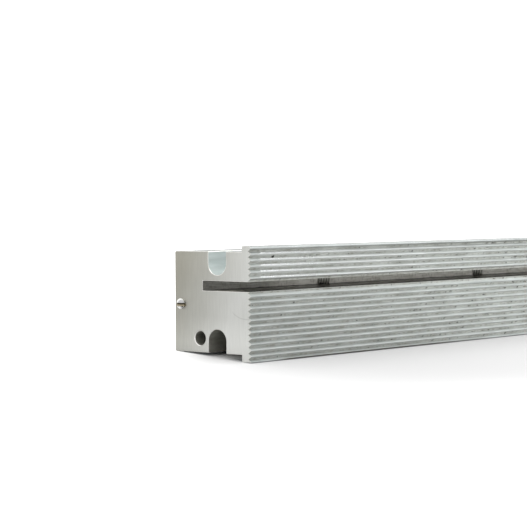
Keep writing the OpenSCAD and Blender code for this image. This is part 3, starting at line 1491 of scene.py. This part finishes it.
@dataclass
class Studio:
    """The pale floor, soft lamps, white surround and camera."""

    low: Vector
    flange_thickness: float = mm(5)
    flange_drop: float = mm(3)
    rear_chamfer: float = mm(0.4)
    eye: Triple = (-0.723091, -0.540793, 0.034261)
    turn_deg: Triple = (88.1648, 0.2712, -49.6736)
    lens_mm: float = 125.818
    paper: float = 0.74
    # Round this spot the sweep keeps the paper's own colour. It's whitest past the far radius.
    sweep_centre: Triple = (0.03, -0.04, 0.0)
    sweep_squash: float = 2.8
    sweep_radii: Pair = (0.06, 0.29)
    sweep_power: float = 4.0
    far_gain: float = 1.01
    # Each lamp's place, the side of its square and its power in watts.
    lamps: tuple[tuple[str, Triple, float, float], ...] = (
        ("overhead_lamp", (0.35, -0.55, 1.0), 1.1, 3.4),
        ("far_lamp", (0.85, 0.2, 0.7), 0.5, 3.0),
        ("low_lamp", (0.85, -0.4, 0.55), 0.25, 1.3),
    )
    fill: float = 0.95
    camera_glow: float = 0.15

    def build(self) -> None:
        """Sets up everything that isn't the object."""
        self.place_camera()
        self.lay_floor()
        for lamp in self.lamps:
            self.hang(*lamp)
        self.light_surround()

    def place_camera(self) -> None:
        """Places the camera low, in front of the visible end and to its left."""
        data = bpy.data.cameras.new("camera")
        data.lens = self.lens_mm
        data.sensor_width = 36.0
        data.clip_start = 0.01
        data.clip_end = 50.0
        camera = bpy.data.objects.new("camera", data)
        bpy.context.scene.collection.objects.link(camera)
        camera.location = self.eye
        camera.rotation_euler = [math.radians(angle) for angle in self.turn_deg]
        bpy.context.scene.camera = camera

    def lay_floor(self) -> None:
        """Lays the floor under the flange's and the bar's rear edges, on which the jaw leans back."""
        front = Vector((0, self.low.y + self.flange_thickness, self.low.z))
        rear = Vector((0, -self.rear_chamfer, self.low.z + self.flange_drop))
        lean = math.atan2(rear.z - front.z, rear.y - front.y)
        bpy.ops.object.select_all(action="DESELECT")
        bpy.ops.mesh.primitive_plane_add(size=8, location=front, rotation=(lean, 0, 0))
        floor = bpy.context.object
        floor.name = "studio_floor"
        made = bpy.data.materials.new("white_sweep")
        made.use_nodes = True
        tree = made.node_tree
        tree.nodes.clear()
        graph = Graph(tree)
        path = graph.add("LightPath")
        # The sweep is white to the camera, and keeps the object's shadow because only its colour is raised.
        # Away from the lamp it's raised more, so that it has no horizon.
        away = graph.distance(self.sweep_centre, (1, self.sweep_squash, 1))
        rising = ramp_range(self.sweep_radii, (0.0, self.far_gain))
        raised = graph.add("MapRange", rising, {"Value": away})
        raised = graph.add("Math", {"operation": "POWER", "1": self.sweep_power}, {"0": raised})
        seen = {"0": (path, "Is Camera Ray"), "1": raised}
        level = graph.add("Math", {"operation": "MULTIPLY_ADD", "2": self.paper}, seen)
        sheet = graph.add("BsdfDiffuse", links={"Color": level})
        graph.add("OutputMaterial", links={"Surface": sheet})
        floor.data.materials.append(made)

    def hang(self, name: str, place: Triple, size: float, power: float) -> None:
        """Hangs one soft square lamp that looks at the object.

        Args:
            name: The lamp's name.
            place: Where it hangs.
            size: Side of its square.
            power: Power in watts.
        """
        data = bpy.data.lights.new(name, "AREA")
        data.shape = "SQUARE"
        data.size = size
        data.energy = power
        lamp = bpy.data.objects.new(name, data)
        bpy.context.scene.collection.objects.link(lamp)
        lamp.location = place
        lamp.rotation_euler = (-Vector(place)).to_track_quat("-Z", "Y").to_euler()

    def light_surround(self) -> None:
        """Makes the surround white to the camera and in reflections, and a plain fill on the floor."""
        world = bpy.data.worlds.new("studio")
        bpy.context.scene.world = world
        world.use_nodes = True
        tree = world.node_tree
        tree.nodes.clear()
        graph = Graph(tree)
        path = graph.add("LightPath")
        seen: Link = (path, "Is Camera Ray")
        for ray in ("Is Glossy Ray", "Is Transmission Ray"):
            seen = graph.add("Math", {"operation": "MAXIMUM"}, {"0": seen, "1": (path, ray)})
        colour = linear("FFFFFF")
        fill = graph.add("Background", {"Color": colour, "Strength": self.fill})
        brighter = {"operation": "MULTIPLY_ADD", "1": self.camera_glow, "2": 1.0}
        glow = graph.add("Math", brighter, {"0": (path, "Is Camera Ray")})
        white = graph.add("Background", {"Color": colour}, {"Strength": glow})
        mix = graph.add("MixShader", links={"Fac": seen, "1": fill, "2": white})
        graph.add("OutputWorld", links={"Surface": mix})


def main() -> None:
    """Builds the studio, the bar and the screw, and reports each."""
    logging.basicConfig(level=logging.INFO, format="%(name)s: %(message)s")
    bpy.context.scene.view_settings.view_transform = "Standard"
    low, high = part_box("jaw_body")
    Studio(low).build()
    log.info("studio built")

    grime = Grime().material()
    finishes = {
        Face.PLATED: SatinPlate().material(),
        Face.END: GroundEnd().material(),
        Face.SLOT: SlotSteel().material(),
        Face.CHANNEL: PlatedChannel().material(),
        Face.HOLE: DarkSteel().material(),
        Face.THREAD: TappedSteel().material(),
        Face.EDGE: WornEdge().material(),
        Face.PIT: grime,
        Face.SLOT_FLOOR: OilySlotSide().material(),
    }
    bar = JawBar(low, high, finishes)
    bar.build()
    bar.dress()
    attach(bar.piece, "root")
    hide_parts("jaw_body")
    log.info("bar built: %d faces", len(bar.piece.data.polygons))

    screw = EndScrew(low.x, bar.screw_setback, bar.bar_bottom + bar.screw_level)
    screw.build()
    # The driver slot's dark brown is grime and painted shade.
    screw.dress(NickelScrew().material(), Grime("slot_grime_and_shade", "6E634C", "3A352B").material())
    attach(screw.piece, "root")
    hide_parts("end_screw")
    log.info("screw built: %d faces", len(screw.piece.data.polygons))


if __name__ == "__main__":
    main()
